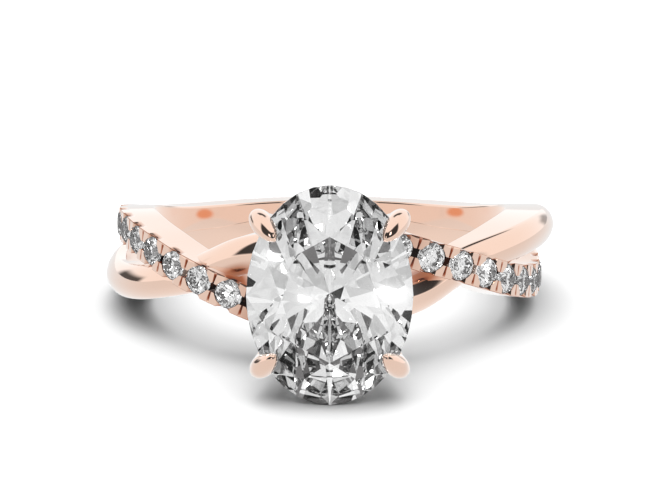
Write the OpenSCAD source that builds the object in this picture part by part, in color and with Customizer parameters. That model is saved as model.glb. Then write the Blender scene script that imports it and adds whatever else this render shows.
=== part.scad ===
// Crossover ring: a plain strand and a stone-set strand on each side of an oval centre stone.
// Millimetres. The ring lies on its side: floor at z = 0, centre stone towards -Y, finger hole
// near upright. Each half is the other one turned half a turn about the centre stone's axis.

/* [Shown] */
// node to draw

/* [Finger] */
// inside diameter of the band
finger_d = 16.5; // [15:0.1:19]

/* [Plain strand] */
// strand width between its side faces
plain_w = 1.6; // [1.4:0.05:1.8]
// thickness from the finger to the crown of the dome
plain_t = 2.3; // [2.1:0.05:2.5]
// height of the dome above the side faces
plain_dome = 0.55; // [0.4:0.05:0.7]
// furthest the strand's middle line strays from the ring's mid plane
plain_sway = 1.14; // [1:0.02:1.2]

/* [Set strand] */
// strand width
set_w = 1.5; // [1.45:0.05:1.6]
// thickness from the finger to the metal between the stones
set_t = 1.72; // [1.6:0.02:1.9]
// furthest the strand's middle line strays from the ring's mid plane
set_sway = 1.4; // [1.3:0.05:1.5]

/* [Side stones] */
// girdle diameter
melee_d = 1.34; // [1.2:0.02:1.4]
// angle between neighbouring stones about the finger
melee_step = 9.05; // [8.9:0.05:9.4]
// angle of the first stone from the centre stone
melee_start = 17.2; // [16.6:0.2:18]
// radius of one prong
prong_r = 0.17; // [0.14:0.01:0.19]
// how far a prong's tip stands above the girdle
prong_h = 0.24; // [0.18:0.02:0.28]

/* [Centre stone] */
// width across the finger
oval_w = 7.0; // [6.4:0.1:7.4]
// length along the finger
oval_l = 9.3; // [8.8:0.1:9.8]
// height of the girdle above the finger hole
oval_rise = 5.85; // [5.4:0.05:6.2]

/* [Claws] */
// radius of a claw's rounded head
claw_r = 0.56; // [0.5:0.02:0.62]
// radius of a claw's shaft
shaft_r = 0.4; // [0.34:0.02:0.46]
// radius of the gallery rail's wire
rail_r = 0.32; // [0.26:0.02:0.38]

/* [Back of the band] */
// width at the very back
back_w = 2.2; // [1.9:0.05:2.4]
// thickness at the very back
back_t = 2.0; // [1.8:0.05:2.2]

/* [Fit] */
// clear distance between a stone and the metal
seat_gap = 0.04; // [0.03:0.01:0.06]

/* [Hidden] */
bore_r = finger_d / 2;
side_count = 10;
gold = [0.91, 0.70, 0.60];
clear = [0.92, 0.94, 0.96];

// Cut of the stones, as shares of the girdle radius unless said otherwise.
table_r = 0.57;
star_r = 0.79;
crown_h = 0.31;
girdle_h = 0.06;
pavilion_h = 0.86;
lower_r = 0.2;

// Rows of both strands from the centre stone round to the back, each an angle and a share.
// Height of the strand's middle line over the ring's mid plane: [angle, share of the sway].
plain_rise = [[0, -1.1], [10, -1.04], [20, -0.87], [26, -0.64], [36, -0.02], [43, 0.31], [50, 0.54],
    [60, 0.82], [70, 0.97], [80, 1.0], [90, 0.96], [100, 0.85], [110, 0.67], [118, 0.57], [127, 0.48]];
set_rise = [[0, 0.89], [8, 0.98], [17, 0.94], [26.2, 0.58], [35.3, 0.23], [44.3, -0.12],
    [53.4, -0.45], [62.4, -0.67], [71.5, -0.84], [80.5, -0.88], [90, -0.83], [98.6, -0.74],
    [108, -0.59], [116, -0.48], [125, -0.4]];
// Distance of the crown from the finger hole: [angle, share of the thickness].
plain_crest = [[0, 0.78], [20, 0.81], [30, 0.73], [38, 0.68], [46, 0.76], [58, 0.93], [70, 0.99],
    [85, 1.0], [100, 0.99], [115, 0.94]];
set_crest = [[0, 1.02], [17, 1.02], [40, 1.0], [60, 0.93], [80, 0.87], [95, 0.87], [112, 0.95],
    [125, 1.03]];

// Places and sizes that follow from the ones above.
back_z = 0.25 * back_w;
// Beside the very back the rims stand out a little further, so the ring rests on two places there.
back_foot = -1.08 * back_z;
back_join = -1.02 * back_z;
melee_r = melee_d / 2;
scallop_r = 0.74 * melee_r;
scallop_up = 0.36 * melee_r;
prong_along = 0.28 * melee_r;
half_w = oval_w / 2;
half_l = oval_l / 2;
oval_z = bore_r + oval_rise;

// Counts and steps.
loop_step = 4.5;
dome_steps = 6;
bore_sides = 90;
cone_sides = 16;
scallop_sides = 8;
prong_sides = 5;
claw_sides = 10;
rail_steps = 32;
rail_sides = 6;

function slope_at(tab, i) = let (n = len(tab) - 1, a = tab[max(i - 1, 0)], b = tab[min(i + 1, n)])
    (b[1] - a[1]) / (b[0] - a[0]);
function row_at(tab, t, i = 0) = i >= len(tab) - 2 || t < tab[i + 1][0] ? i : row_at(tab, t, i + 1);
// Smooth curve through the rows of a table.
function curve(tab, t) = let (
    i = row_at(tab, t), h = tab[i + 1][0] - tab[i][0],
    s = min(max((t - tab[i][0]) / h, 0), 1),
    s2 = s * s, s3 = s2 * s)
    (2 * s3 - 3 * s2 + 1) * tab[i][1] + (s3 - 2 * s2 + s) * h * slope_at(tab, i)
    + (3 * s2 - 2 * s3) * tab[i + 1][1] + (s3 - s2) * h * slope_at(tab, i + 1);

function scaled(tab, k) = [for (row = tab) [row[0], row[1] * k]];
function turned_back(tab) = [for (i = [len(tab) - 1 : -1 : 1]) [-tab[i][0], tab[i][1]]];
function both_ends(tab, v) = concat([[-180, v]], tab, [[180, v]]);

// One closed loop runs from the head along the set strand to the back and home as the plain one.
rise_tab = both_ends(concat([[-162, back_foot], [-142, back_join]],
    turned_back(scaled(plain_rise, -plain_sway)), scaled(set_rise, set_sway),
    [[142, back_join], [162, back_foot]]), -0.95 * back_z);
crest_tab = both_ends(concat([[-150, back_t * 1.02]], turned_back(scaled(plain_crest, plain_t)),
    scaled(set_crest, set_t), [[150, back_t * 0.98]]), back_t);
width_tab = both_ends([[-142, 0.54 * back_w], [-108, plain_w], [-36, plain_w], [-12, 1.08 * plain_w],
    [8, set_w], [108, set_w], [142, 0.54 * back_w]], 0.54 * back_w);
dome_tab = both_ends([[-120, plain_dome], [-12, plain_dome], [10, 0.1 * set_w], [108, 0.1 * set_w],
    [142, 0.9 * plain_dome]], plain_dome);
// share of the half width by which the crown sits towards the mid plane
lean_tab = [[-180, 0.9], [-142, 0.8], [-108, 0], [0, 0], [108, 0], [142, 0.8], [180, 0.9]];
// 2 gives an oval dome, more gives a flatter top with tighter corners
round_tab = [[-180, 2], [-12, 2], [10, 4], [112, 4], [140, 2.2], [180, 2]];

function loop_z(a) = curve(rise_tab, a);
function loop_lean(a) = let (d = 0.5) atan2(loop_z(a + d) - loop_z(a - d), 2 * d * PI / 180 * bore_r);
function radial(a) = [sin(a), -cos(a), 0];
function along(a) = [cos(a), sin(a), 0];
// Direction across the strand, square to its path.
function across(a) = let (s = loop_lean(a)) [0, 0, cos(s)] - sin(s) * along(a);

// How deep a section's inner corners lie inside the finger hole, which is bored out of them later.
wall_in = 0.3;
function signed_power(v, p) = sign(v) * pow(abs(v), p);
// One section: the inner wall's two corners, then the dome from one side face to the other.
function section(a) = let (
    r = bore_r + curve(crest_tab, a), w = curve(width_tab, a) / 2, d = curve(dome_tab, a),
    n = curve(round_tab, a), lean = curve(lean_tab, a) * w,
    mid = [0, 0, loop_z(a)], e = radial(a), b = across(a))
    concat([mid + b * w + e * (bore_r - wall_in), mid - b * w + e * (bore_r - wall_in)],
        [for (i = [0 : dome_steps]) let (
            f = 180 * i / dome_steps,
            u = signed_power(-cos(f), 2 / n), v = signed_power(sin(f), 2 / n),
            across_mm = u > 0 ? lean + u * (w - lean) : lean + u * (w + lean))
            mid + b * across_mm + e * (r - d + d * v)]);

sections = [for (a = [-180 : loop_step : 180 - loop_step]) section(a)];

// Closed surface through rings of points, each ring with the same count.
module skin(rings, closed = false) {
    n = len(rings);
    m = len(rings[0]);
    last_ring = closed ? n - 1 : n - 2;
    sides = [for (i = [0 : last_ring], j = [0 : m - 1]) let (
        i2 = (i + 1) % n, j2 = (j + 1) % m,
        p = i * m + j, q = i * m + j2, r = i2 * m + j2, s = i2 * m + j)
        each [[p, q, r], [p, r, s]]];
    ends = closed ? [] : [[for (j = [m - 1 : -1 : 0]) j], [for (j = [0 : m - 1]) (n - 1) * m + j]];
    polyhedron([for (ring = rings) each ring], concat(sides, ends), 10);
}

// Places children on the loop: x along the strand, y across it, z away from the finger.
module on_loop(a, r) {
    e = radial(a);
    b = across(a);
    t = cross(b, e);
    c = e * r + [0, 0, loop_z(a)];
    multmatrix([[t[0], b[0], e[0], c[0]], [t[1], b[1], e[1], c[1]], [t[2], b[2], e[2], c[2]],
        [0, 0, 0, 1]]) children();
}

module other_half() {
    rotate([0, 180, 0]) children();
}

function melee_angle(i) = melee_start + (i - 1) * melee_step;
// The stones follow the strand's top.
function melee_seat(i) = bore_r + curve(crest_tab, melee_angle(i)) + 0.02 * melee_d;

// Height above a corner of the plane through three points.
function plane_z(a, b, c, x, y) = let (n = cross(b - a, c - a))
    a[2] - (n[0] * (x - a[0]) + n[1] * (y - a[1])) / n[2];
function ring_of(n, r, z, turn = 0) = [for (k = [0 : n - 1])
    [r * cos(360 * k / n + turn), r * sin(360 * k / n + turn), z]];

// Brilliant cut about its axis: z = 0 at the girdle's lower edge, table up. Its outline is an oval
// of half axes rx and ry, and r sets the heights. The girdle has 16 or 32 sides; each facet is flat.
module brilliant(rx, ry, r, sides = 16) {
    star_z = girdle_h + (1 - star_r * cos(22.5)) * crown_h / (1 - table_r);
    low_z = -pavilion_h * (1 - lower_r * cos(22.5));
    tables = ring_of(8, table_r, girdle_h + crown_h);
    stars = ring_of(8, star_r, star_z, 22.5);
    lows = ring_of(8, lower_r, low_z, 22.5);
    top_16 = ring_of(16, 1, girdle_h);
    low_16 = ring_of(16, 1, 0);
    between = ring_of(16, 1, 0, 11.25);
    dip = girdle_h - plane_z(stars[0], top_16[0], top_16[1], between[0][0], between[0][1]);
    rise = plane_z(lows[0], low_16[0], low_16[1], between[0][0], between[0][1]);
    c = sides / 16;
    uppers = [for (k = [0 : 15]) each
        c == 1 ? [top_16[k]] : [top_16[k], between[k] + [0, 0, girdle_h - dip]]];
    lowers = [for (k = [0 : 15]) each
        c == 1 ? [low_16[k]] : [low_16[k], between[k] + [0, 0, rise]]];
    pts = [for (p = concat(tables, stars, uppers, lowers, lows, [[0, 0, -pavilion_h]]))
        [p[0] * rx, p[1] * ry, p[2] * r]];
    up = 16;
    down = up + sides;
    low = down + sides;
    faces = concat(
        [[for (k = [7 : -1 : 0]) k]],
        [for (k = [0 : 7]) let (
            k2 = (k + 1) % 8, k0 = (k + 7) % 8,
            g = 2 * c * k, h = g + c, g2 = (g + 2 * c) % sides) each [
            [k, k2, 8 + k],
            [k, 8 + k, up + g, 8 + k0],
            concat([8 + k], [for (m = [h : -1 : g]) up + m]),
            concat([8 + k, up + g2], [for (m = [g + 2 * c - 1 : -1 : h]) up + m]),
            concat([low + k], [for (m = [g : h]) down + m]),
            concat([low + k], [for (m = [h : g + 2 * c - 1]) down + m], [down + g2]),
            [low + 8, low + k0, down + g, low + k]]],
        [for (k = [0 : sides - 1]) let (k2 = (k + 1) % sides) [up + k, up + k2, down + k2, down + k]]);
    polyhedron(pts, faces, 10);
}

module side_stone(i) {
    color(clear) on_loop(melee_angle(i), melee_seat(i)) brilliant(melee_r, melee_r, melee_r);
}

// Room for one side stone: a cone under it, its girdle, and a cone over its crown.
module side_seat(i) {
    wide = melee_r + seat_gap / cos(180 / cone_sides);
    crown = table_r * melee_r + seat_gap;
    on_loop(melee_angle(i), melee_seat(i)) rotate(180 / cone_sides) {
        translate([0, 0, -pavilion_h * melee_r - 2 * seat_gap])
            cylinder(h = pavilion_h * melee_r + 2 * seat_gap, r1 = seat_gap, r2 = wide, $fn = cone_sides);
        translate([0, 0, -seat_gap / 4])
            cylinder(h = girdle_h * melee_r + seat_gap / 2, r = wide, $fn = cone_sides);
        translate([0, 0, girdle_h * melee_r])
            cylinder(h = crown_h * melee_r + 2 * seat_gap, r1 = wide, r2 = crown, $fn = cone_sides);
    }
}

// Notch across the strand at one side stone, which shows as a scallop in both rims.
module scallop(i) {
    on_loop(melee_angle(i), melee_seat(i) + scallop_up) rotate([90, 0, 0]) rotate(180 / scallop_sides)
        cylinder(h = 2 * set_w, r = scallop_r, center = true, $fn = scallop_sides);
}

// Four prongs between two side stones.
module prongs(i) {
    on_loop(melee_angle(i + 0.5), melee_seat(i + 0.5)) for (x = [-1, 1], y = [-1, 1])
        translate([x * prong_along, y * (set_w / 2 - prong_r), -melee_r / 2])
            cylinder(h = melee_r / 2 + prong_h, r1 = prong_r, r2 = 0.7 * prong_r, $fn = prong_sides);
}

// Head, drawn about its own axis: x across the finger, y along it, z away from the ring's centre.
claw_turn = 47;
// Distance from the head's axis to the oval's edge along the claw's direction.
edge_rho = 1 / sqrt(pow(cos(claw_turn) / half_w, 2) + pow(sin(claw_turn) / half_l, 2));
// Rows of one claw's shaft: height above the finger hole as a share of the girdle's, and distance
// from the axis as a share of the edge's.
shaft_rows = [[0.14, 0.52], [0.28, 0.64], [0.44, 0.79], [0.62, 0.93], [0.8, 1.01]];
// Rows of its head in claw radii, but the second: height over the girdle, distance from the axis
// as a share of the edge's, then outward, sideways and inward reach.
head_rows = [[-1.2, 1.045, 0.8, 0.78, 0.78], [-0.6, 1.05, 0.96, 0.92, 1.0], [-0.1, 1.055, 1.0, 1.0, 1.3],
    [0.4, 1.05, 0.95, 0.96, 1.5], [0.85, 1.04, 0.8, 0.8, 1.45], [1.2, 1.01, 0.56, 0.56, 1.1],
    [1.36, 0.98, 0.22, 0.22, 0.5]];
claw_rows = concat(
    [for (row = shaft_rows) [row[0] * oval_rise, row[1] * edge_rho, shaft_r, shaft_r, shaft_r]],
    [for (row = head_rows) [oval_rise + row[0] * claw_r, row[1] * edge_rho, row[2] * claw_r,
        row[3] * claw_r, row[4] * claw_r]]);
// One ring of the claw, its inner side drawn out to a point.
function claw_ring(row) = [for (k = [claw_sides : -1 : 1]) let (
    f = 360 * k / claw_sides, c = cos(f), s = sin(f),
    point = max(0, row[4] / row[2] - 1),
    rho = row[1] + (c > 0 ? row[2] : row[4]) * c,
    side = row[3] * s * (c > 0 ? 1 : 1 - min(0.6, point) * c * c))
    [rho * cos(claw_turn) - side * sin(claw_turn), rho * sin(claw_turn) + side * cos(claw_turn),
        bore_r + row[0]]];

module claw() {
    skin([for (row = claw_rows) claw_ring(row)]);
}

rail_row = 0.36;
rail_reach = 0.73;
// Oval rail that the four shafts pass through.
module gallery_rail() {
    rho = edge_rho * rail_reach;
    ratio = half_l / half_w;
    a = rho * sqrt(pow(cos(claw_turn), 2) + pow(sin(claw_turn) / ratio, 2));
    skin([for (k = [0 : rail_steps - 1]) let (f = 360 * k / rail_steps)
        [for (j = [0 : rail_sides - 1]) let (g = 360 * j / rail_sides, out = rail_r * cos(g))
            [(a + out) * cos(f), (a * ratio + out) * sin(f),
                bore_r + rail_row * oval_rise + rail_r * sin(g)]]], true);
}

// The centre stone's own shape grown by the clear distance, so the claws close over it without touching.
module centre_room() {
    grow = 1.5 * seat_gap;
    translate([0, 0, oval_z + 0.1 * grow])
        brilliant(half_w + grow, half_l + grow, half_w + 2 * grow, 32);
}

module head_frame() {
    rotate([90, 0, 0]) children();
}

module head() {
    head_frame() {
        for (turn = [0, 180]) rotate(turn) {
            claw();
            mirror([1, 0, 0]) claw();
        }
        gallery_rail();
    }
}

module loop() {
    difference() {
        union() {
            skin(sections, true);
            for (i = [0 : side_count]) prongs(i);
        }
        for (i = [1 : side_count]) scallop(i);
    }
}

// Rest: the ring leans until the back of the band and the foot of the oval both reach the floor.
back_points = [for (ring = sections) each [for (p = ring) each [p, [-p[0], p[1], -p[2]]]]];
lean_slope = min([for (p = back_points) if (p[1] > 0) (p[2] + half_l) / (p[1] + oval_z)]);
lean_deg = atan(lean_slope);
lift = half_l * cos(lean_deg) - oval_z * sin(lean_deg);
front_y = -(oval_z + (girdle_h + crown_h) * half_w) * cos(lean_deg) - table_r * half_l * sin(lean_deg);
back_y = max([for (p = back_points) p[1] * cos(lean_deg) + p[2] * sin(lean_deg)]);

module at_rest() {
    translate([0, -(front_y + back_y) / 2, lift]) rotate([-lean_deg, 0, 0]) children();
}

bore_l = 4 * plain_w;

// All the metal, joined to one surface and bored to the finger's size.
module mounting() {
    color(gold) at_rest() resize([0, 0, 0]) difference() {
        union() {
            loop();
            other_half() loop();
            head();
        }
        for (i = [1 : side_count]) {
            side_seat(i);
            other_half() side_seat(i);
        }
        head_frame() centre_room();
        cylinder(h = bore_l, r = bore_r / cos(90 / bore_sides), center = true, $fn = bore_sides);
    }
}

module centre_stone() {
    color(clear) at_rest() head_frame() translate([0, 0, oval_z]) brilliant(half_w, half_l, half_w, 32);
}

module side_stone_right(i) {
    at_rest() side_stone(i);
}

module side_stone_left(i) {
    at_rest() other_half() side_stone(i);
}

mounting();
centre_stone();
for (i = [1 : side_count]) {
    side_stone_right(i);  // side_stones
    side_stone_left(i);  // side_stones
}
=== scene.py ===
import bpy
import numpy as np
from math import radians, atan2, degrees, pi
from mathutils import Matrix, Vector


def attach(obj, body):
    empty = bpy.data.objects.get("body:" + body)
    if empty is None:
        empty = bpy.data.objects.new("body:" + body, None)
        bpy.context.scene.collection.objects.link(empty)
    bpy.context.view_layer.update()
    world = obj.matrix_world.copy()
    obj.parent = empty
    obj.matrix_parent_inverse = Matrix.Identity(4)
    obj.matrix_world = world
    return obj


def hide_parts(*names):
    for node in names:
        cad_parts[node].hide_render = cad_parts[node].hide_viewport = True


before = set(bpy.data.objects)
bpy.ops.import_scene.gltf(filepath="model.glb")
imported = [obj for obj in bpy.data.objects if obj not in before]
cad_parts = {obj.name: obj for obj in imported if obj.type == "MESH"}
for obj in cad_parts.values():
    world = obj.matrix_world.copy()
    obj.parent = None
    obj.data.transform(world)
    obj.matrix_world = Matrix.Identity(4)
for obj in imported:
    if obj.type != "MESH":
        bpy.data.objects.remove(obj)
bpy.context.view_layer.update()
print("frame loaded, nodes:", len(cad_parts))

mm = 0.001  # metres in a millimetre; shapes are worked out in millimetres

# The finger hole and how finely the bands are drawn.
band = {
    "holeRadius": 8.25,
    "holeStep": 0.004,  # one loop's inner wall lies this much deeper, so the two never coincide
    "innerRound": 0.10,  # rounding where the finger hole meets a side face
    "holdRow": 0.02,  # how near a rounding's ends the rows lie that keep flat faces flat
    "lensHeight": 0.2,  # how far down a side face each scoop reaches
    "degreesPerStep": 0.75,
    "quarterPoints": 14,  # steps over half a domed top, as many as the channel's section has
    "tableStep": 0.25, "smoothing": 2.5,  # degrees between a smoothed table's points, and its bell
}

# The plain polished strand. Rows are degrees from the centre stone and a share of the size named.
plainStrand = {
    "width": 1.6, "thickness": 2.3, "dome": 0.55, "sway": 1.14,
    "swayRows": [(0, -1.1), (10, -1.04), (20, -0.87), (26, -0.64), (36, -0.02), (43, 0.31), (50, 0.54),
                 (60, 0.82), (70, 0.97), (80, 1.0), (90, 0.96), (100, 0.85), (110, 0.67), (118, 0.57),
                 (127, 0.48)],
    "thicknessRows": [(0, 0.78), (20, 0.81), (30, 0.73), (38, 0.68), (46, 0.76), (58, 0.93), (70, 0.99),
                      (85, 1.0), (100, 0.99), (115, 0.94)],
    "widthRows": [(12, 1.08), (36, 1.0), (108, 1.0)],
    "domeRows": [(12, 1.0), (120, 1.0)],
    # power of the top's curve: 2 is an oval, more is nearer to a box
    "power": 2, "powerRows": [(12, 2)],
    # degrees at which it passes the other strand beside the head, and the painted shade there
    "crossing": 26, "crossReach": 6, "crossShade": 0.58,
    # shares of the half width where that painted shade begins and is full, and its height over the hole
    "crossSide": (0.2, 0.6), "crossFoot": 0.5,
}

# The strand with the small stones.
setStrand = {
    "width": 1.5, "thickness": 1.72, "sway": 1.4,
    "swayRows": [(0, 0.89), (8, 0.98), (17, 0.94), (26.2, 0.58), (35.3, 0.23), (44.3, -0.12),
                 (53.4, -0.45), (62.4, -0.67), (71.5, -0.84), (80.5, -0.88), (90, -0.83),
                 (98.6, -0.74), (108, -0.59), (116, -0.48), (125, -0.4)],
    "thicknessRows": [(0, 1.02), (17, 1.02), (40, 1.0), (60, 0.93), (80, 0.87), (95, 0.87),
                      (112, 0.95), (125, 1.03)],
    "widthRows": [(8, 1.0), (108, 1.0)],
    "domeRows": [(10, 0.1), (108, 0.1)],  # as shares of the width
    "powerRows": [(10, 4), (112, 4), (140, 2.2)],
    "stoneCount": 10, "firstStone": 17.2, "stoneStep": 9.05,  # places in degrees
    "seat": 0.027,  # girdle above the metal between the stones
    "tabTop": 0.15,  # tabs over the girdle's lower edge
    "tabReach": 0.62,  # radius of the round opening that the tabs leave over a stone
    "wallReach": 0.70,  # radius of the opening below them
    "tabTip": 0.20,  # how near the strand's middle a tab comes
    "lip": (0.05, 0.08),  # depths of a tab's tip and of the step under it
    "floor": 0.62,  # depth of the channel under the girdle
    "leastWall": 0.1,  # height that the channel's wall keeps below a slit
    "edge": 0.035,  # rounding of the tabs' outer edges
    # cut between the two tabs of a gap, how nearly it closes at the rim, and the sliver beside it
    "slit": 0.075, "slitDepth": 0.30, "slitHold": 0.97, "sliver": 0.004,
    # half length and depth of the scoop beside a stone, and how far it reaches into the side
    "scallop": 0.37, "scallopDepth": 0.16, "scallopReach": 0.08,
    "scoopPoints": 15, "flankPoints": 6,  # columns over a scoop, and from it to a slit
    "startGap": (0.3, 0.03),  # degrees kept free of plain columns, and where the last one stands
    "rimShade": 0.4, "scoopShade": 0.5,  # painted shade on the tabs' edges and in the scoops
    "slitShades": (0.5, 0.85, 1.0),  # painted shade down a slit
    # painted shade beside the head, how many degrees it reaches, and over how many it fades
    "headShade": 0.3, "headReach": 26, "headFade": 8,
    "stoneClear": 0.02, "pressDepth": 1.0,  # clearance under the stones, and how deep it is kept
}

# Where the two strands have become one at the back. Shares are of its width or thickness.
backOfBand = {
    "width": 2.2, "thickness": 2.0,
    "join": 142, "joinedWidth": 0.54, "joinedRise": -0.2375, "joinedDome": 0.9,
    "even": 150, "plainSide": 1.02, "setSide": 0.98,  # thickness on either side of the join
    "leanRows": [(0, 0.0), (108, 0.0), (142, 0.8)], "lean": 0.9,  # the crown leans to the middle
    "overlap": 0.2, "overlapFrom": 138, "overlapOver": 14,  # how far the joined strands overlap
}

# The centre stone: its girdle's rise over the finger hole, its pavilion's depth as a share of half
# its width, and degrees from its width to the claws.
head = {"stoneWidth": 7.0, "stoneLength": 9.3, "rise": 5.85, "pavilion": 0.86, "clawTurn": 47}


# Smooth curve through a table's rows: between two rows a cubic that takes, at each row, the slope
# from the row before it to the row after it.
def throughRows(rows, t):
    x = np.array([row[0] for row in rows], float)
    y = np.array([row[1] for row in rows], float)
    before = np.maximum(np.arange(len(x)) - 1, 0)
    after = np.minimum(np.arange(len(x)) + 1, len(x) - 1)
    slope = (y[after] - y[before]) / (x[after] - x[before])
    i = np.clip(np.searchsorted(x, t, side="right") - 1, 0, len(x) - 2)
    h = x[i + 1] - x[i]
    s = np.clip((t - x[i]) / h, 0, 1)
    return ((2 * s ** 3 - 3 * s ** 2 + 1) * y[i] + (s ** 3 - 2 * s ** 2 + s) * h * slope[i]
            + (3 * s ** 2 - 2 * s ** 3) * y[i + 1] + (s ** 3 - s ** 2) * h * slope[i + 1])


# The same curve round the whole loop, averaged over a bell of a few degrees so that polished
# metal shows no change of bend at the rows.
def roundLoop(rows, t):
    fine = np.arange(-180, 180, band["tableStep"])
    bell = np.exp(-0.5 * (fine / band["smoothing"]) ** 2)
    bell = np.roll(bell / bell.sum(), -len(fine) // 2)
    soft = np.real(np.fft.ifft(np.fft.fft(throughRows(rows, fine)) * np.fft.fft(bell)))
    return np.interp(t, np.append(fine, 180), np.append(soft, soft[0]), period=360)


# A table's values times a size.
def scaled(rows, size):
    return [(row[0], row[1] * size) for row in rows]


# A table mirrored to the loop's other side, where angles are negative.
def turnedBack(rows):
    return [(-row[0], row[1]) for row in reversed(rows) if row[0] > 0]


# A table closed with one value at both ends of the loop, which meet at the back.
def bothEnds(rows, value):
    return [(-180, value)] + rows + [(180, value)]


# One loop runs from the head along the set strand to the back, and home as the plain strand.
def loopTables():
    plain, gem, back = plainStrand, setStrand, backOfBand
    join, even = back["join"], back["even"]
    rise, width = back["joinedRise"] * back["width"], back["joinedWidth"] * back["width"]
    return {
        "rise": bothEnds([(-join, rise)] + turnedBack(scaled(plain["swayRows"], -plain["sway"]))
                         + scaled(gem["swayRows"], gem["sway"]) + [(join, rise)], rise),
        "crown": bothEnds([(-even, back["plainSide"] * back["thickness"])]
                          + turnedBack(scaled(plain["thicknessRows"], plain["thickness"]))
                          + scaled(gem["thicknessRows"], gem["thickness"])
                          + [(even, back["setSide"] * back["thickness"])], back["thickness"]),
        "width": bothEnds([(-join, width)] + turnedBack(scaled(plain["widthRows"], plain["width"]))
                          + scaled(gem["widthRows"], gem["width"]) + [(join, width)], width),
        "dome": bothEnds(turnedBack(scaled(plain["domeRows"], plain["dome"]))
                         + scaled(gem["domeRows"], gem["width"])
                         + [(join, back["joinedDome"] * plain["dome"])], plain["dome"]),
        "lean": bothEnds(turnedBack(back["leanRows"]) + back["leanRows"], back["lean"]),
        "power": bothEnds(turnedBack(plain["powerRows"]) + gem["powerRows"], plain["power"]),
    }


tables = loopTables()


# How far the strand's middle lies above the ring's middle plane at each angle.
def loopRise(a):
    return roundLoop(tables["rise"], a)


# Axes on the loop at each angle: out of the finger, and across the strand square to its path.
def loopAxes(a):
    t = np.radians(a)
    climb = (loopRise(a + 0.5) - loopRise(a - 0.5)) / (radians(1) * band["holeRadius"])
    s = np.arctan(climb)
    out = np.stack([np.sin(t), -np.cos(t), np.zeros_like(t)], -1)
    along = np.stack([np.cos(t), np.sin(t), np.zeros_like(t)], -1)
    across = np.stack([np.zeros_like(t), np.zeros_like(t), np.cos(s)], -1) - np.sin(s)[:, None] * along
    return out, across


# Where the ring's own axes lie on the floor. The centre stone's points are the same after a half
# turn about its axis, so their mean is on that axis, and its culet is the point nearest the finger.
def restPlace(stoneNode):
    co = np.zeros(len(stoneNode.data.vertices) * 3)
    stoneNode.data.vertices.foreach_get("co", co)
    co = np.unique(np.round(co.reshape(-1, 3) / mm, 4), axis=0)
    culet = co[np.argmax(co[:, 1])]
    axis = co.mean(0) - culet
    axis /= np.linalg.norm(axis)
    culetHeight = band["holeRadius"] + head["rise"] - head["pavilion"] * head["stoneWidth"] / 2
    lean = atan2(axis[2], -axis[1])
    c, s = np.cos(lean), np.sin(lean)
    turn = np.array([[1, 0, 0], [0, c, s], [0, -s, c]])
    return turn, culet - axis * culetHeight


turnToFloor, ringCentre = restPlace(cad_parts["centre_stone"])
print("ring leans", round(degrees(atan2(turnToFloor[1, 2], turnToFloor[1, 1])), 3), "degrees, centre at",
      np.round(ringCentre, 3), "mm")


# From the ring's own axes in millimetres to the floor's in metres.
def toFloor(points):
    return (points @ turnToFloor.T + ringCentre) * mm


# Mesh through a grid of points, rows by columns, closed round the columns and, if asked, round the
# rows. Open ends of rows may be capped with a fan to their middle.
def gridMesh(name, points, closedRows=True, caps=False):
    n, m = points.shape[:2]
    i, j = np.meshgrid(np.arange(n if closedRows else n - 1), np.arange(m), indexing="ij")
    i2, j2 = (i + 1) % n, (j + 1) % m
    quads = np.stack([i * m + j, i * m + j2, i2 * m + j2, i2 * m + j], -1).reshape(-1, 4)
    flat = points.reshape(-1, 3)
    faces = quads.tolist()
    if caps:
        ends = np.stack([points[0].mean(0), points[-1].mean(0)])
        flat = np.concatenate([flat, ends])
        k = np.arange(m)
        k2 = (k + 1) % m
        first = np.stack([k2, k, np.full(m, n * m)], -1)
        last = np.stack([(n - 1) * m + k, (n - 1) * m + k2, np.full(m, n * m + 1)], -1)
        faces += first.tolist() + last.tolist()
    mesh = bpy.data.meshes.new(name)
    mesh.from_pydata(flat.tolist(), [], faces)
    mesh.update()
    return mesh


# Puts a mesh into the scene as one piece of the mounting, smooth but for edges over sharp degrees.
def goldPiece(name, mesh, material, sharp=32):
    piece = bpy.data.objects.new(name, mesh)
    bpy.context.scene.collection.objects.link(piece)
    mesh.materials.append(material)
    mesh.polygons.foreach_set("use_smooth", np.ones(len(mesh.polygons), bool))
    mesh.set_sharp_from_angle(angle=radians(sharp))
    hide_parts("mounting")
    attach(piece, "root")
    return piece


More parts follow.
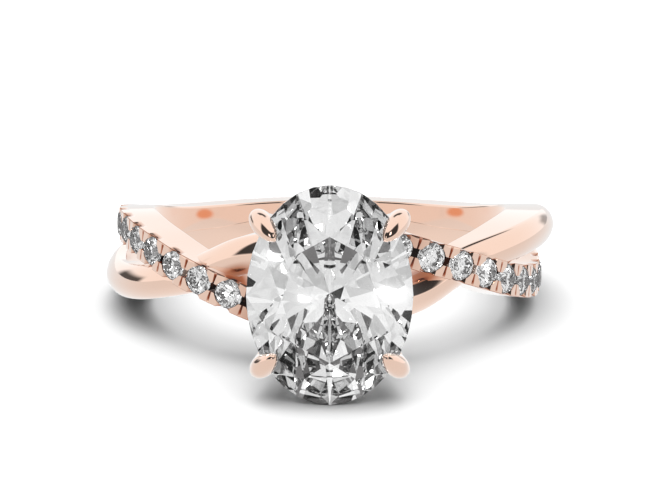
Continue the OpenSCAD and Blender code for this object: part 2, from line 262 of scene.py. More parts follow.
# Columns along the loop: even steps on the plain part, and close ones wherever a scallop, tab or
# slit begins. For each column: its angle, its distance from the nearest small stone's middle,
# whether it lies in a slit, on which side of one it lies, and whether it belongs to the set part.
def loopColumns():
    gem = setStrand
    perMm = degrees(1 / (band["holeRadius"] + gem["thickness"]))
    halfPitch = gem["stoneStep"] / perMm / 2
    halfSlit = gem["slit"] / 2
    scoop = gem["scallop"] * np.sin(np.linspace(-pi / 2, pi / 2, gem["scoopPoints"]))
    flank = np.linspace(gem["scallop"], halfPitch - halfSlit - gem["sliver"], gem["flankPoints"] + 1)[1:]
    cut = np.array([halfPitch - halfSlit, halfPitch + halfSlit])
    x = np.concatenate([-flank[::-1], scoop, flank, cut])
    inSlit = np.concatenate([np.zeros(len(x) - 2, bool), np.ones(2, bool)])
    nearSlit = np.zeros(len(x))
    nearSlit[[0, -3, -2, -1]] = [-1, 1, 1, -1]
    stones = gem["firstStone"] + gem["stoneStep"] * np.arange(gem["stoneCount"])
    gemAngle = np.concatenate([stones[0] - cut[::-1] * perMm, (stones[:, None] + x * perMm).ravel()])
    gemX = np.concatenate([-cut[::-1], np.tile(x, len(stones))])
    gemSlit = np.concatenate([[True, True], np.tile(inSlit, len(stones))])
    gemNear = np.concatenate([[1, -1], np.tile(nearSlit, len(stones))])
    free, last = gem["startGap"]
    plain = np.arange(-180, 180, band["degreesPerStep"])
    plain = plain[(plain < gemAngle[0] - free) | (plain > gemAngle[-1] + free)]
    plain = np.concatenate([plain, [gemAngle[0] - last, gemAngle[-1] + last]])
    angle = np.concatenate([plain, gemAngle])
    order = np.argsort(angle)
    nothing = np.zeros(len(plain))
    return (angle[order], np.concatenate([nothing, gemX])[order],
            np.concatenate([nothing > 0, gemSlit])[order], np.concatenate([nothing, gemNear])[order],
            np.concatenate([nothing, np.ones(len(gemAngle))])[order])


# Half of a domed section, from the side face to the middle: a power curve between an oval and a
# box, |u|^n + v^n = 1, with u running from the side to the crown.
def domeHalf(crown, dome, power, side, lean):
    f = np.linspace(0, pi / 2, band["quarterPoints"] + 1)[None]
    u = np.cos(f) ** (2 / power[:, None])
    v = np.sin(f) ** (2 / power[:, None])
    reach = side[:, None] - lean[:, None]
    return lean[:, None] + u * reach, (crown - dome)[:, None] + dome[:, None] * v


roundSteps = np.radians([0, 30, 60, 90])[None]  # angles of the points on a rounded edge


# How deep the scoop beside a stone is at each column: one less the square of the distance from the
# stone's middle, in scallops.
def scoopAt(x):
    return np.clip(1 - (x / setStrand["scallop"]) ** 2, 0, 1)


# Half of the channel's section, from the side face to the middle: a rounded edge, the flat of the
# tab as far as the round opening over the stone, the step under its lip, the wall and the floor.
# That is four points on the edge, three on the flat, the tip and seven in the channel. Also the painted
# shade of each point, from 0 to 1: on the tabs' rim, in the scoops, beside the head, down slits, and full in
# the channel.
def channelHalf(x, inSlit, nearHead, seat, side):
    gem = setStrand
    scoop = scoopAt(x)
    side = side - gem["scallopReach"] * scoop
    top = (seat + gem["tabTop"] - gem["scallopDepth"] * scoop)[:, None]
    tip, wall = [np.maximum(np.sqrt(np.clip(gem[reach] ** 2 - x ** 2, 0, None)), gem["tabTip"])
                 for reach in ("tabReach", "wallReach")]
    edge = gem["edge"]
    bottom = (seat - gem["floor"])[:, None]
    cut = gem["slitDepth"] * inSlit[:, None]
    cornerU = side[:, None] - edge + edge * np.cos(roundSteps)
    cornerR = top - edge + edge * np.sin(roundSteps)
    share = np.array([0.3, 0.6, 1.0])[None]
    flatU = (side - edge)[:, None] + share * (tip - side + edge)[:, None]
    flatR = top - cut * np.array([0.5, 1, 1])[None]
    innerU = wall[:, None] * np.array([1, 1, 1, 0.6, 0.3, 0.1, 0])[None]
    below = np.maximum(top - cut, bottom + gem["leastWall"])
    lipTip, lipStep = gem["lip"]
    innerR = np.concatenate([below - lipStep, (below + bottom) / 2, bottom + np.zeros((1, 5))], 1)
    u = np.concatenate([cornerU, flatU, tip[:, None], innerU], 1)
    r = np.concatenate([cornerR, flatR, below - lipTip, innerR], 1)
    deep = np.zeros(r.shape) + gem["headShade"] * nearHead[:, None]
    deep[:, 1:3] += gem["rimShade"]
    deep[:, :7] += gem["scoopShade"] * scoop[:, None]
    deep[:, 7:] = 1
    deep[inSlit, 4:7] = gem["slitShades"]
    return u, r, np.minimum(deep, 1)


# How far a slit's sides draw together along the channel's section, as a share of its half width:
# fully on the rounded edge, less over the flat of the tab, and not at all in the channel.
slitTaper = np.array([1, 1, 1, 1, 0.7, 0.35, 0] + [0] * 8)


# Points of one loop: a closed section of two mirrored halves, carried along the loop. Each half runs
# from the finger hole's wall round its rounded foot, up the side face and over the top. Also how much
# painted shade each point takes, from 0 to 1.
def loopPoints(hole):
    plain, gem, back = plainStrand, setStrand, backOfBand
    a, x, inSlit, nearSlit, isSet = loopColumns()
    crown = band["holeRadius"] + roundLoop(tables["crown"], a)
    half = roundLoop(tables["width"], a) / 2
    dome = roundLoop(tables["dome"], a)
    power = roundLoop(tables["power"], a)
    lean = roundLoop(tables["lean"], a) * half
    nearHead = np.clip((gem["headReach"] - a) / gem["headFade"], 0, 1)
    scoop = scoopAt(x)
    past = back["overlap"] * np.clip((np.abs(a) - back["overlapFrom"]) / back["overlapOver"], 0, 1)
    inner, near = band["innerRound"], band["holdRow"]
    k = isSet[:, None]
    sides = []
    for sign, side in ((1, half + past), (-1, half)):
        domeU, domeR = domeHalf(crown, dome, power, side, sign * lean)
        channelU, channelR, deep = channelHalf(x, inSlit, nearHead, crown + gem["seat"], side)
        u = domeU * (1 - k) + channelU * k
        r = domeR * (1 - k) + channelR * k
        lowest = np.where(isSet > 0, crown + gem["seat"] + gem["tabTop"] - gem["scallopDepth"]
                          - gem["edge"], r[:, 0])
        footU = side[:, None] - inner + inner * np.sin(roundSteps)
        footR = hole + inner - inner * np.cos(roundSteps) + 0 * footU
        inward = isSet * gem["scallopReach"] * scoop
        holdU = np.stack([side, side, side, side - inward, side - inward], 1)
        lens = np.where(isSet > 0, band["lensHeight"], 2 * near)
        holdR = np.stack([0 * crown + hole + inner + near, lowest - lens - near / 2, lowest - lens,
                          lowest - near, r[:, 0] - near / 2], 1)
        sides.append((sign * np.concatenate([footU[:, :1] - near, footU, holdU, u], 1),
                      np.concatenate([footR[:, :1], footR, holdR, r], 1)))
    (rightU, rightR), (leftU, leftR) = sides
    u = np.concatenate([rightU, leftU[:, -2::-1]], 1)
    r = np.concatenate([rightR, leftR[:, -2::-1]], 1)

    # Painted shade: none on the foot, some down the side face below each scoop, then the channel's.
    lensShade = gem["scoopShade"] * isSet * scoop
    footCount, lensCount = 8, 2  # points from the hole to the side face, and down the scoop's side
    deep = np.concatenate([np.zeros((len(a), footCount)), lensShade[:, None] * np.ones((1, lensCount)),
                           deep * k], 1)
    deep = np.concatenate([deep, deep[:, -2::-1]], 1)
    # Painted shade on the plain strand where it runs under the other strand beside the head.
    nearCross = np.exp(-((a + plain["crossing"]) / plain["crossReach"]) ** 2)
    begins, full = plain["crossSide"]
    facing = np.clip((-u / half[:, None] - begins) / (full - begins), 0, 1)
    facing = facing * (r > hole + plain["crossFoot"])
    deep = np.maximum(deep, plain["crossShade"] * nearCross[:, None] * facing)

    taper = np.concatenate([np.ones(footCount + lensCount), slitTaper])
    taper = np.concatenate([taper, taper[-2::-1]])[None]
    out, across = loopAxes(a)
    along = np.cross(out, across)
    slide = (nearSlit * gem["slit"] / 2)[:, None] * taper * gem["slitHold"]
    middle = np.stack([0 * a, 0 * a, loopRise(a)], -1)
    points = middle[:, None] + u[..., None] * across[:, None] + r[..., None] * out[:, None]
    return points + slide[..., None] * along[:, None], deep


# Middles of the small stones' girdles, and the direction each stone faces.
def stonePlaces():
    gem = setStrand
    a = gem["firstStone"] + gem["stoneStep"] * np.arange(gem["stoneCount"])
    out, across = loopAxes(a)
    height = band["holeRadius"] + roundLoop(tables["crown"], a) + gem["seat"]
    return np.stack([0 * a, 0 * a, loopRise(a)], -1) + height[:, None] * out, out


# Where one strand runs under the other one's stones, its top is pressed down into cones that clear
# their pavilions: a point's height along the stone's axis is at most the cone's at its distance.
def clearOfStones(points, places):
    gem = setStrand
    for middle, axis in zip(*places):
        away = points - middle
        height = away @ axis
        distance = np.linalg.norm(away - height[..., None] * axis, axis=-1)
        cone = -gem["floor"] * (1 - distance / gem["wallReach"]) - gem["stoneClear"]
        under = (distance < gem["wallReach"]) & (height > -gem["pressDepth"])
        pressed = np.where(under, np.minimum(height, cone), height)
        points = points + (pressed - height)[..., None] * axis
    return points


# The other half of the ring is the same, half a turn about the centre stone's axis.
def halfTurn(points):
    return points * np.array([-1, 1, -1])


# From the head's own axes to the ring's: its z runs away from the finger.
def headToRing(points):
    return np.stack([points[..., 0], -points[..., 2], points[..., 1]], -1)


# Distance from the head's axis to the edge of the oval stone in a claw's direction.
def edgeDistance():
    turn = radians(head["clawTurn"])
    return 1 / np.hypot(np.cos(turn) / (head["stoneWidth"] / 2), np.sin(turn) / (head["stoneLength"] / 2))


claw = {
    "radius": 0.62, "shaftRadius": 0.4,
    # height as a share of the rise, distance from the axis as a share of the stone's edge
    "shaft": [(0.14, 0.52), (0.28, 0.64), (0.44, 0.79), (0.62, 0.93), (0.8, 1.01)],
    # height over the girdle, distance as above, outward, sideways and inward reach in claw radii
    "tip": [(-1.4, 1.045, 0.82, 0.66, 0.78), (-0.5, 1.05, 0.96, 0.74, 1.05),
            (0.0, 1.035, 0.96, 0.76, 1.05), (0.54, 1.0, 0.9, 0.72, 1.0),
            (1.08, 0.945, 0.65, 0.56, 0.8), (1.42, 0.9, 0.38, 0.36, 0.5),
            (1.58, 0.875, 0.16, 0.16, 0.2), (1.61, 0.87, 0.02, 0.02, 0.02)],
    "point": 0.75,  # how far the inner side may draw out to a point
    "rings": 72, "sides": 40, "closer": 0.8,  # below 1 the rings stand closer towards the tip
    "sharp": 60,  # degrees between faces past which an edge stays sharp
}


# One claw: egg-shaped rings stacked along its height, drawn out to a point on their inner side.
# Each ring's reach from the claw's axis is outward or inward times the cosine, sideways the sine.
def clawPoints(turnSign, lengthSign):
    edge, rise, unit, shaft = edgeDistance(), head["rise"], claw["radius"], claw["shaftRadius"]
    rows = [(h * rise, d * edge, shaft, shaft, shaft) for h, d in claw["shaft"]]
    rows += [(rise + h * unit, d * edge, o * unit, s * unit, i * unit) for h, d, o, s, i in claw["tip"]]
    rows = np.array(rows)
    step = np.append(0, np.cumsum(np.hypot(np.diff(rows[:, 0]), np.diff(rows[:, 1]))))
    t = np.linspace(0, 1, claw["rings"]) ** claw["closer"] * step[-1]
    height, distance, outward, sideways, inward = [
        throughRows(list(zip(step, rows[:, c])), t)[:, None] for c in range(5)]
    f = np.linspace(0, 2 * pi, claw["sides"], endpoint=False)[None]
    c, s = np.cos(f), np.sin(f)
    point = np.clip(inward / outward - 1, 0, claw["point"])
    rho = distance + np.where(c > 0, outward, inward) * c
    side = sideways * s * np.where(c > 0, 1, 1 - point * c * c)
    turn = radians(head["clawTurn"])
    x = rho * np.cos(turn) - side * np.sin(turn)
    y = rho * np.sin(turn) + side * np.cos(turn)
    z = band["holeRadius"] + height + 0 * x
    points = np.stack([x * turnSign, y * lengthSign, z], -1)
    return points if turnSign * lengthSign > 0 else points[:, ::-1]


# The wire's radius, its height as a share of the rise and its reach as a share of the stone's edge.
rail = {"radius": 0.32, "height": 0.36, "reach": 0.73, "steps": 160, "sides": 24}


# Oval rail that joins the claws: a round wire carried round an oval.
def railPoints():
    turn = radians(head["clawTurn"])
    ratio = head["stoneLength"] / head["stoneWidth"]
    a = edgeDistance() * rail["reach"] * np.hypot(np.cos(turn), np.sin(turn) / ratio)
    f, g = np.meshgrid(np.linspace(0, 2 * pi, rail["steps"], endpoint=False),
                       np.linspace(2 * pi, 0, rail["sides"], endpoint=False), indexing="ij")
    out = rail["radius"] * np.cos(g)
    z = band["holeRadius"] + rail["height"] * head["rise"] + rail["radius"] * np.sin(g)
    return np.stack([(a + out) * np.cos(f), (a * ratio + out) * np.sin(f), z], -1)


# A math node on two inputs, each a number or another node's output.
def mathNode(nodes, links, operation, first, second=0.0):
    node = nodes.new("ShaderNodeMath")
    node.operation = operation
    for socket, value in zip(node.inputs, (first, second)):
        if isinstance(value, (int, float)):
            socket.default_value = value
        else:
            links.new(value, socket)
    return node.outputs[0]


# A vector math node on another node's output and a fixed vector.
def vectorNode(nodes, links, operation, first, second=(0, 0, 0)):
    node = nodes.new("ShaderNodeVectorMath")
    node.operation = operation
    links.new(first, node.inputs[0])
    node.inputs[1].default_value = second
    return node.outputs["Value" if operation == "LENGTH" else "Vector"]


# Goes from the first result to the second while the value goes from one limit to the other,
# straight or with soft ends.
def rampNode(nodes, links, value, limits, results=(0, 1), shape="SMOOTHSTEP"):
    node = nodes.new("ShaderNodeMapRange")
    node.interpolation_type = shape
    links.new(value, node.inputs["Value"])
    node.inputs["From Min"].default_value, node.inputs["From Max"].default_value = limits
    node.inputs["To Min"].default_value, node.inputs["To Max"].default_value = results
    return node.outputs["Result"]


# A colour, fixed or from a node, that turns into a fixed one with the share.
def colourMix(nodes, links, share, first, second):
    node = nodes.new("ShaderNodeMix")
    node.data_type = "RGBA"
    links.new(share, node.inputs["Factor"])
    if isinstance(first, tuple):
        node.inputs["A"].default_value = (*first, 1)
    else:
        links.new(first, node.inputs["A"])
    node.inputs["B"].default_value = (*second, 1)
    return node.outputs["Result"]


# The first shader where the share is zero, the second where it is one.
def shaderMix(nodes, links, share, first, second):
    node = nodes.new("ShaderNodeMixShader")
    for socket, output in zip(node.inputs, (share, first, second)):
        links.new(output, socket)
    return node.outputs[0]


# One where a ray has passed into a stone on its way, else zero.
def throughStone(nodes, links, path):
    return mathNode(nodes, links, "GREATER_THAN", path.outputs["Transmission Depth"], 0.5)


# Light that the stones gather. Each level begins at its share of the cells.
lightBox = {
    "levels": [(0.0, 0.0), (0.22, 0.0), (0.24, 0.62), (0.45, 0.9), (0.7, 1.05), (0.85, 1.1),
               (1.0, 1.18)],
    "cells": 2.4, "shift": (3.7, 2.2, 5.1),
    "sparkCells": 14.0, "sparkShare": 0.02, "sparkLight": 26.0,
    "middle": 5,  # height in millimetres that the floor's part of it is seen from
}


# The directions around the stones fall into cells, each with its own even light, as from the lamps,
# screens and dark gaps of a jeweller's light box, and into finer cells of which a few are bright
# sparks.
def lightBoxGroup():
    group = bpy.data.node_groups.new("lightBox", "ShaderNodeTree")
    group.interface.new_socket("Vector", in_out="INPUT", socket_type="NodeSocketVector")
    group.interface.new_socket("Light", in_out="OUTPUT", socket_type="NodeSocketFloat")
    nodes, links = group.nodes, group.links
    entry, leave = nodes.new("NodeGroupInput"), nodes.new("NodeGroupOutput")
    shifted = vectorNode(nodes, links, "ADD", entry.outputs["Vector"], lightBox["shift"])

    def cellValue(scale):
        cells = nodes.new("ShaderNodeTexVoronoi")
        cells.inputs["Scale"].default_value = scale
        links.new(shifted, cells.inputs["Vector"])
        parts = nodes.new("ShaderNodeSeparateColor")
        links.new(cells.outputs["Color"], parts.inputs[0])
        return parts.outputs[0]

    curve = nodes.new("ShaderNodeFloatCurve")
    links.new(cellValue(lightBox["cells"]), curve.inputs["Value"])
    points = curve.mapping.curves[0].points
    levels = lightBox["levels"]
    highest = max(level for share, level in levels)
    points[0].location = (0, levels[0][1] / highest)
    points[1].location = (1, levels[-1][1] / highest)
    for share, level in levels[1:-1]:
        points.new(share, level / highest)
    for point in points:
        point.handle_type = "VECTOR"
    curve.mapping.update()
    patches = mathNode(nodes, links, "MULTIPLY", curve.outputs[0], highest)
    isSpark = mathNode(nodes, links, "GREATER_THAN", cellValue(lightBox["sparkCells"]),
                       1 - lightBox["sparkShare"])
    sparks = mathNode(nodes, links, "MULTIPLY", isSpark, lightBox["sparkLight"])
    links.new(mathNode(nodes, links, "ADD", patches, sparks), leave.inputs["Light"])
    return group


# Faint handling marks: the base roughness plus an amount times soft noise.
def handlingGroup():
    group = bpy.data.node_groups.new("faintHandling", "ShaderNodeTree")
    for name in ("Base", "Amount"):
        group.interface.new_socket(name, in_out="INPUT", socket_type="NodeSocketFloat")
    group.interface.new_socket("Roughness", in_out="OUTPUT", socket_type="NodeSocketFloat")
    nodes, links = group.nodes, group.links
    entry, leave = nodes.new("NodeGroupInput"), nodes.new("NodeGroupOutput")
    place = nodes.new("ShaderNodeTexCoord")
    noise = nodes.new("ShaderNodeTexNoise")
    noise.inputs["Scale"].default_value = goldFinish["markScale"]
    noise.inputs["Detail"].default_value = goldFinish["markDetail"]
    links.new(place.outputs["Object"], noise.inputs["Vector"])
    marks = mathNode(nodes, links, "MULTIPLY", noise.outputs["Fac"], entry.outputs["Amount"])
    links.new(mathNode(nodes, links, "ADD", entry.outputs["Base"], marks), leave.inputs["Roughness"])
    return group


# Where the gold's painted orange glow goes: one within a few soft-edged egg shapes about given
# places, else zero: the distance from a place, divided by the shape's reach on each axis, is below one.
def paintedGlowGroup():
    group = bpy.data.node_groups.new("paintedGlowPlaces", "ShaderNodeTree")
    group.interface.new_socket("Mask", in_out="OUTPUT", socket_type="NodeSocketFloat")
    nodes, links = group.nodes, group.links
    place, leave = nodes.new("ShaderNodeTexCoord"), nodes.new("NodeGroupOutput")
    total = 0.0
    for centre in toFloor(np.array(goldFinish["paintedGlowPlaces"])):
        away = vectorNode(nodes, links, "SUBTRACT", place.outputs["Object"], centre)
        share = vectorNode(nodes, links, "DIVIDE", away, np.array(goldFinish["paintedGlowReach"]) * mm)
        length = vectorNode(nodes, links, "LENGTH", share)
        total = mathNode(nodes, links, "MAXIMUM", total,
                         rampNode(nodes, links, length, goldFinish["paintedGlowEdge"]))
    links.new(total, leave.inputs["Mask"])
    return group


# A material with its node tree's parts: nodes, links and the shader it starts with.
def newMaterial(name):
    material = bpy.data.materials.new(name)
    material.use_nodes = True
    nodes, links = material.node_tree.nodes, material.node_tree.links
    return material, nodes, links, nodes["Principled BSDF"]


goldFinish = {
    "plain": (0.87, 0.625, 0.505), "atEdge": (1.0, 0.96, 0.93), "edgePower": 2.6,
    # painted shade: brown where shaded, nearly black at the bottoms of cuts
    "paintedShadeBrown": (0.44, 0.17, 0.09), "paintedShadeInCuts": (0.03, 0.012, 0.008),
    "roughness": 0.04, "marks": 0.03, "markScale": 900, "markDetail": 3,
    "paintedGoldInGold": (0.97, 0.90, 0.86), "paintedReflectionShare": 0.9,  # painted reflection of gold mirrored in gold, and how much of it is that painted glow
    # painted plain grey glow of gold seen through a stone
    "paintedGreyInStone": (0.18, 0.175, 0.175),
    # two places on the finger hole's wall, in the ring's axes, that glow a painted orange where the wall
    # opposite mirrors them
    "paintedOrangeGlow": (0.88, 0.4, 0.22), "paintedGlowPlaces": [(5.27, 6.35, -0.78), (-5.2, 6.4, -0.66)],
    "paintedGlowReach": (1.7, 1.7, 0.26), "paintedGlowEdge": (1.35, 0.65),
}


# Polished rose gold: a metal that pales at a slant and is darkened by painted shade from a point attribute.
def goldMaterial(handling, paintedGlowSpots):
    material, nodes, links, shader = newMaterial("polishedRoseGold")
    shader.inputs["Metallic"].default_value = 1
    marks = nodes.new("ShaderNodeGroup")
    marks.node_tree = handling
    marks.inputs["Base"].default_value = goldFinish["roughness"]
    marks.inputs["Amount"].default_value = goldFinish["marks"]
    links.new(marks.outputs["Roughness"], shader.inputs["Roughness"])
    # Painted shade: shaded places are painted brown and the bottoms of cuts nearly black, in the metal and in
    # its painted glow.
    deep = nodes.new("ShaderNodeAttribute")
    deep.attribute_name = "deep"

    def withPaintedShade(colour):
        for limits, darker in (((0, 0.5), goldFinish["paintedShadeBrown"]), ((0.5, 1), goldFinish["paintedShadeInCuts"])):
            part = rampNode(nodes, links, deep.outputs["Fac"], limits, shape="LINEAR")
            colour = colourMix(nodes, links, part, colour, darker)
        return colour

    facing = nodes.new("ShaderNodeLayerWeight")
    facing.inputs["Blend"].default_value = 0.5
    slant = mathNode(nodes, links, "POWER", facing.outputs["Facing"], goldFinish["edgePower"])
    pale = colourMix(nodes, links, slant, goldFinish["plain"], goldFinish["atEdge"])
    links.new(withPaintedShade(pale), shader.inputs["Base Color"])
    # Gold that is only seen mirrored in gold is in part a painted, even glow, which calms the inner wall, and
    # gold seen through a stone glows a painted plain grey.
    path = nodes.new("ShaderNodeLightPath")
    mask = nodes.new("ShaderNodeGroup")
    mask.node_tree = paintedGlowSpots
    paintedReflection = nodes.new("ShaderNodeEmission")
    withPaintedGlow = colourMix(nodes, links, mask.outputs["Mask"], withPaintedShade(goldFinish["paintedGoldInGold"]),
                        goldFinish["paintedOrangeGlow"])
    links.new(withPaintedGlow, paintedReflection.inputs["Color"])
    share = mathNode(nodes, links, "MULTIPLY", path.outputs["Is Glossy Ray"], goldFinish["paintedReflectionShare"])
    withPaintedReflection = shaderMix(nodes, links, share, shader.outputs[0], paintedReflection.outputs[0])
    paintedGreyGlow = nodes.new("ShaderNodeEmission")
    paintedGreyGlow.inputs["Color"].default_value = (*goldFinish["paintedGreyInStone"], 1)
    last = shaderMix(nodes, links, throughStone(nodes, links, path), withPaintedReflection, paintedGreyGlow.outputs[0])
    links.new(last, nodes["Material Output"].inputs["Surface"])
    return material


# How strongly the stone bends light, how much of its outer gleam shows, and what its faces throw back.
diamondFinish = {"bend": 2.417, "outerGleam": 0.12, "thrownBack": (0.93, 0.93, 0.93)}


# Rays bend into the stone and are thrown back inside it as in a real one, but the gleam of its
# outer faces is held down so that dark facets stay dark.
def diamondMaterial():
    material, nodes, links, shader = newMaterial("cutDiamond")
    nodes.remove(shader)
    bent = nodes.new("ShaderNodeBsdfRefraction")
    bent.inputs["Color"].default_value = (1, 1, 1, 1)
    bent.inputs["Roughness"].default_value = 0
    bent.inputs["IOR"].default_value = diamondFinish["bend"]
    thrown = nodes.new("ShaderNodeBsdfGlossy")
    thrown.inputs["Color"].default_value = (*diamondFinish["thrownBack"], 1)
    thrown.inputs["Roughness"].default_value = 0
    split = nodes.new("ShaderNodeFresnel")
    split.inputs["IOR"].default_value = diamondFinish["bend"]
    side = nodes.new("ShaderNodeNewGeometry")
    scale = rampNode(nodes, links, side.outputs["Backfacing"], (0, 1), (diamondFinish["outerGleam"], 1),
                     "LINEAR")
    share = mathNode(nodes, links, "MULTIPLY", split.outputs[0], scale)
    links.new(shaderMix(nodes, links, share, bent.outputs[0], thrown.outputs[0]),
              nodes["Material Output"].inputs["Surface"])
    return material


box = lightBoxGroup()
gold = goldMaterial(handlingGroup(), paintedGlowGroup())
diamond = diamondMaterial()
print("gold and diamond mixed")

rightStones = stonePlaces()
leftStones = tuple(halfTurn(part) for part in rightStones)
rightLoop, rightPaintedShade = loopPoints(band["holeRadius"])
leftLoop, leftPaintedShade = loopPoints(band["holeRadius"] + band["holeStep"])
rightLoop = clearOfStones(rightLoop, leftStones)
leftLoop = clearOfStones(halfTurn(leftLoop), rightStones)
# Each strand carries its painted shade as a point attribute for the gold.
for name, points, deep in (("strand_right_set", rightLoop, rightPaintedShade),
                           ("strand_left_set", leftLoop, leftPaintedShade)):
    mesh = gridMesh(name, toFloor(points))
    mesh.attributes.new("deep", "FLOAT", "POINT").data.foreach_set("value", deep.ravel())
    goldPiece(name, mesh, gold)
print("strands:", rightLoop.shape[0], "sections of", rightLoop.shape[1], "points each")
for name, sx, sy in (("claw_1", 1, 1), ("claw_2", -1, 1), ("claw_3", -1, -1), ("claw_4", 1, -1)):
    mesh = gridMesh(name, toFloor(headToRing(clawPoints(sx, sy))), closedRows=False, caps=True)
    goldPiece(name, mesh, gold, claw["sharp"])
goldPiece("gallery_rail", gridMesh("gallery_rail", toFloor(headToRing(railPoints()))), gold)
print("claws and rail done")

for name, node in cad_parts.items():
    if name != "mounting":
        node.data.materials.clear()
        node.data.materials.append(diamond)
print("stones dressed")

# The floor's width in metres, its colour and how dull it is. Mirrored in metal it is a painted glow that goes
# from the first light to the second between two distances in millimetres from the ring's middle.
floorLook = {
    "size": 2.0, "colour": (0.9, 0.9, 0.9), "roughness": 0.9,
    "mirrored": (0.97, 0.88), "between": (7, 13),
}


# A plain pale square that stands for the studio table.
def makeFloor():
    s = floorLook["size"] / 2
    mesh = bpy.data.meshes.new("floor")
    mesh.from_pydata([(-s, -s, 0), (s, -s, 0), (s, s, 0), (-s, s, 0)], [], [(0, 1, 2, 3)])
    floor = bpy.data.objects.new("floor", mesh)
    bpy.context.scene.collection.objects.link(floor)
    material, nodes, links, shader = newMaterial("paleFloor")
    shader.inputs["Base Color"].default_value = (*floorLook["colour"], 1)
    shader.inputs["Roughness"].default_value = floorLook["roughness"]
    shader.inputs["Specular IOR Level"].default_value = 0
    # Mirrored in the metal the floor is a painted glow without shadows, brighter near the ring's middle, and
    # the stones gather the light box from it.
    path = nodes.new("ShaderNodeLightPath")
    place = nodes.new("ShaderNodeTexCoord")
    near, far = floorLook["between"]
    away = vectorNode(nodes, links, "LENGTH", place.outputs["Object"])
    even = nodes.new("ShaderNodeEmission")
    links.new(rampNode(nodes, links, away, (near * mm, far * mm), floorLook["mirrored"]),
              even.inputs["Strength"])
    lower = vectorNode(nodes, links, "SUBTRACT", place.outputs["Object"], (0, 0, lightBox["middle"] * mm))
    cells = nodes.new("ShaderNodeGroup")
    cells.node_tree = box
    links.new(vectorNode(nodes, links, "NORMALIZE", lower), cells.inputs["Vector"])
    gathered = nodes.new("ShaderNodeEmission")
    links.new(cells.outputs["Light"], gathered.inputs["Color"])
    mirrored = shaderMix(nodes, links, path.outputs["Is Glossy Ray"], shader.outputs[0], even.outputs[0])
    last = shaderMix(nodes, links, throughStone(nodes, links, path), mirrored, gathered.outputs[0])
    links.new(last, nodes["Material Output"].inputs["Surface"])
    mesh.materials.append(material)


# The dome's light, the floor's light from above and how closely it gathers there, and the cards.
# A card is a patch about one azimuth (0 behind the ring, 90 to its right, 180 at the camera) and
# one height, all in degrees, with soft edges, and its light replaces the dome's.
sky = {
    "dome": 1.1, "overhead": 3.5, "overheadFocus": 2.7,
    "cards": [
        {"azimuth": 180, "height": 29, "reach": (68, 25), "soft": 4, "light": 0.04},
        {"azimuth": 150, "height": 34, "reach": (7, 9), "soft": 2, "light": 2.5},
        {"azimuth": 208, "height": 22, "reach": (6, 8), "soft": 2, "light": 2.5},
        {"azimuth": 0, "height": 55, "reach": (28, 10), "soft": 5, "light": 0.06},
        {"azimuth": -58, "height": 3, "reach": (19, 8), "soft": 5, "light": 0.1},
        {"azimuth": 30, "height": 3, "reach": (9, 9), "soft": 5, "light": 0.45},
    ],
}


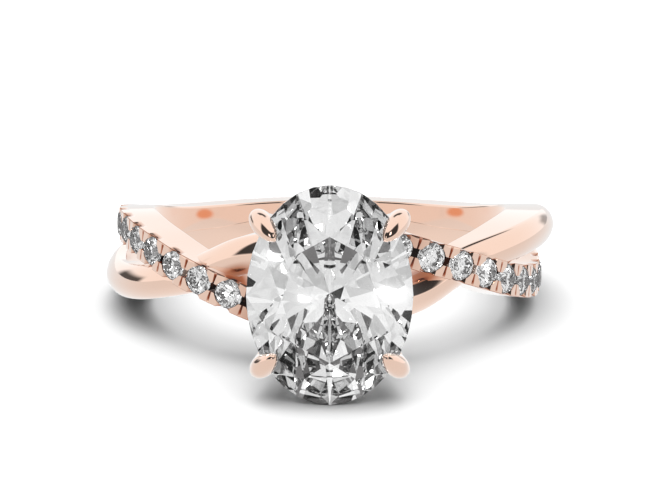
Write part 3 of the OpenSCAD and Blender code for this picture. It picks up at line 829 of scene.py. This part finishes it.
# The studio's light by direction. The metal mirrors a dome with darker and brighter cards, the
# stones gather the light box, and all else is lit from above, by the upward share to a power.
def makeSky():
    world = bpy.data.worlds.new("studio")
    bpy.context.scene.world = world
    world.use_nodes = True
    nodes, links = world.node_tree.nodes, world.node_tree.links
    background = nodes["Background"]
    background.inputs["Color"].default_value = (1, 1, 1, 1)

    def math(operation, first, second=0.0):
        return mathNode(nodes, links, operation, first, second)

    def within(value, reach, soft):
        return rampNode(nodes, links, math("ABSOLUTE", value), (radians(reach + soft), radians(reach - soft)))

    def pick(choice, yes, no):
        return math("ADD", math("MULTIPLY", choice, yes),
                    math("MULTIPLY", math("SUBTRACT", 1.0, choice), no))

    place = nodes.new("ShaderNodeTexCoord")
    parts = nodes.new("ShaderNodeSeparateXYZ")
    links.new(place.outputs["Generated"], parts.inputs[0])
    height = math("ARCSINE", parts.outputs["Z"])
    mirrored = sky["dome"]
    for card in sky["cards"]:
        turn = nodes.new("ShaderNodeVectorRotate")
        turn.rotation_type = "Z_AXIS"
        turn.inputs["Angle"].default_value = radians(card["azimuth"])
        links.new(place.outputs["Generated"], turn.inputs["Vector"])
        turned = nodes.new("ShaderNodeSeparateXYZ")
        links.new(turn.outputs["Vector"], turned.inputs[0])
        sideways = math("ARCTAN2", turned.outputs["X"], turned.outputs["Y"])
        upward = math("SUBTRACT", height, radians(card["height"]))
        wide, high = card["reach"]
        mask = math("MULTIPLY", within(sideways, wide, card["soft"]), within(upward, high, card["soft"]))
        mirrored = pick(mask, card["light"], mirrored)
    overhead = math("MULTIPLY", sky["overhead"],
                    math("POWER", math("MAXIMUM", parts.outputs["Z"], 0.0), sky["overheadFocus"]))
    path = nodes.new("ShaderNodeLightPath")
    cells = nodes.new("ShaderNodeGroup")
    cells.node_tree = box
    links.new(place.outputs["Generated"], cells.inputs["Vector"])
    light = pick(path.outputs["Is Glossy Ray"], mirrored, overhead)
    light = pick(throughStone(nodes, links, path), cells.outputs["Light"], light)
    links.new(light, background.inputs["Strength"])


# Where the camera stands: millimetres from the ring's centre, degrees above the floor. Also how
# often light may turn in the stones and between polished faces.
view = {
    "distance": 120, "height": 16.85, "lens": 138.1, "shift": (0.00045, -0.0029), "nearest": 1,
    "stoneBounces": 20, "goldBounces": 12,
}


# A camera that looks at the ring's centre from in front, a little from above.
def makeCamera():
    e = radians(view["height"])
    centre = Vector((0, ringCentre[1] * mm, ringCentre[2] * mm))
    back = Vector((0, -np.cos(e), np.sin(e)))
    data = bpy.data.cameras.new("camera")
    data.lens = view["lens"]
    data.shift_x, data.shift_y = view["shift"]
    data.clip_start = view["nearest"] * mm
    camera = bpy.data.objects.new("camera", data)
    bpy.context.scene.collection.objects.link(camera)
    camera.location = centre + back * view["distance"] * mm
    camera.rotation_mode = "QUATERNION"
    camera.rotation_quaternion = (-back).to_track_quat("-Z", "Y")
    bpy.context.scene.camera = camera


# Light above which a spark glows, how wide and how strongly.
glow = {"above": 2.0, "size": 0.35, "strength": 1.0}


# The brightest sparks of the stones glow a little.
def makeGlow():
    scene.use_nodes = True
    nodes, links = scene.node_tree.nodes, scene.node_tree.links
    nodes.clear()
    picture = nodes.new("CompositorNodeRLayers")
    glare = nodes.new("CompositorNodeGlare")
    glare.glare_type = "BLOOM"
    glare.inputs["Threshold"].default_value = glow["above"]
    glare.inputs["Size"].default_value = glow["size"]
    glare.inputs["Strength"].default_value = glow["strength"]
    result = nodes.new("CompositorNodeComposite")
    links.new(picture.outputs["Image"], glare.inputs["Image"])
    links.new(glare.outputs["Image"], result.inputs["Image"])


makeFloor()
makeSky()
makeCamera()
scene = bpy.context.scene
scene.view_settings.view_transform = "Standard"
scene.cycles.max_bounces = view["stoneBounces"]
scene.cycles.transmission_bounces = view["stoneBounces"]
scene.cycles.glossy_bounces = view["goldBounces"]
scene.cycles.caustics_reflective = False
scene.cycles.caustics_refractive = False
makeGlow()
print("floor, light, camera and glow set")
